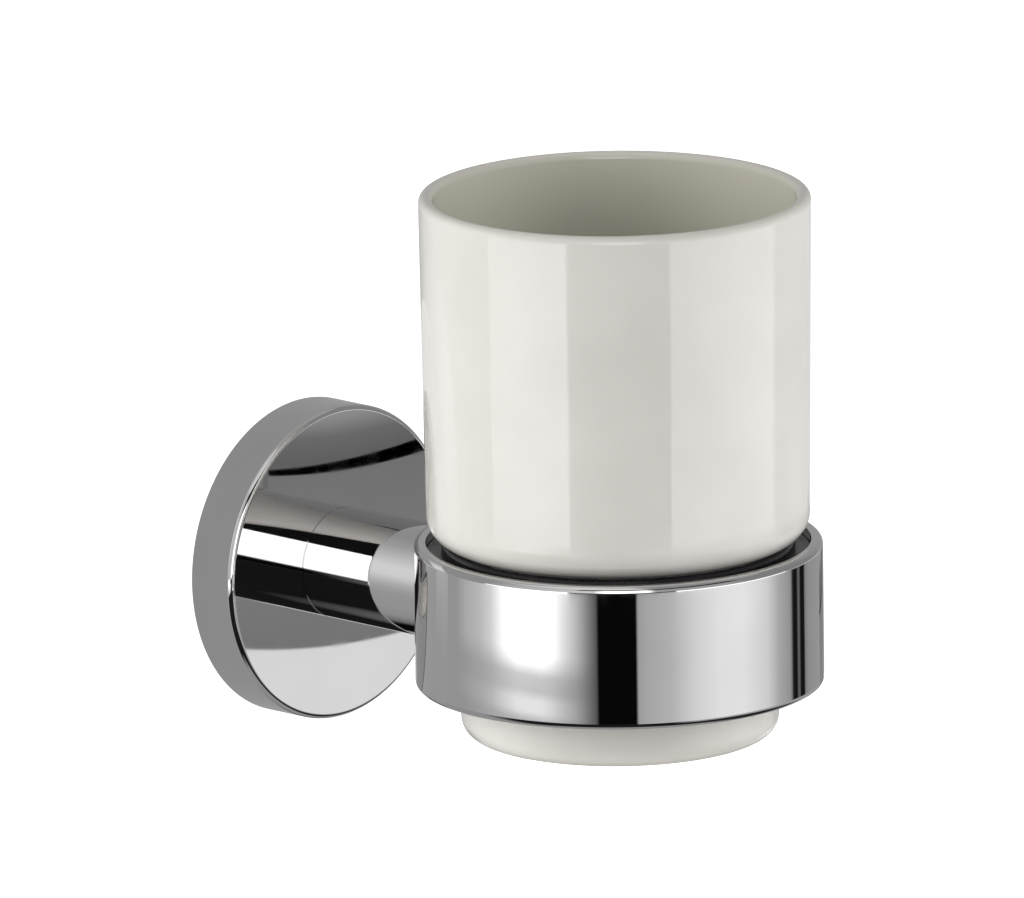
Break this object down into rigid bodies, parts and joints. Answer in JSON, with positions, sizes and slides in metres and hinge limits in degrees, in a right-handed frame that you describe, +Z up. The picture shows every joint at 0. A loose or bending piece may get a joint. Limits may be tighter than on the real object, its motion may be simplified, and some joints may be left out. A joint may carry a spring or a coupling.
{
  "type": "bathroom tumbler and wall holder",
  "caption": "Wall-mounted bathroom tumbler holder: chrome rose, post and ring band carrying a lift-out glazed ceramic tumbler with a stepped foot.",
  "frame": {"origin": "centre of the wall bracket's back face, on the wall plane", "axes": "+Y into the wall, along the post's axis; -Y out into the room towards the ring; +Z up"},
  "size_m": [0.071, 0.1115, 0.104],
  "materials": {
    "chrome": "mirror-polished chrome plate",
    "bracket_steel": "plain zinc-grey",
    "fastener_steel": "satin stainless steel",
    "black_plastic": "moulded black plastic",
    "glazed_ceramic": "glossy warm white glaze"
  },
  "bodies": {
    "holder": {"wall_bracket": "bracket_steel", "wall_rose": "chrome", "grub_screw": "fastener_steel", "post_screw": "fastener_steel", "lock_washer": "fastener_steel", "post": "chrome", "ring_band": "chrome", "band_screw": "fastener_steel", "seat_liner": "black_plastic"},
    "tumbler": {"tumbler": "glazed_ceramic"}
  },
  "joints": [
    {"name": "tumbler_lift", "type": "slide", "parent": "holder", "child": "tumbler", "axis": [0, 0, 1], "range_m": [0, 0.06]}
  ]
}
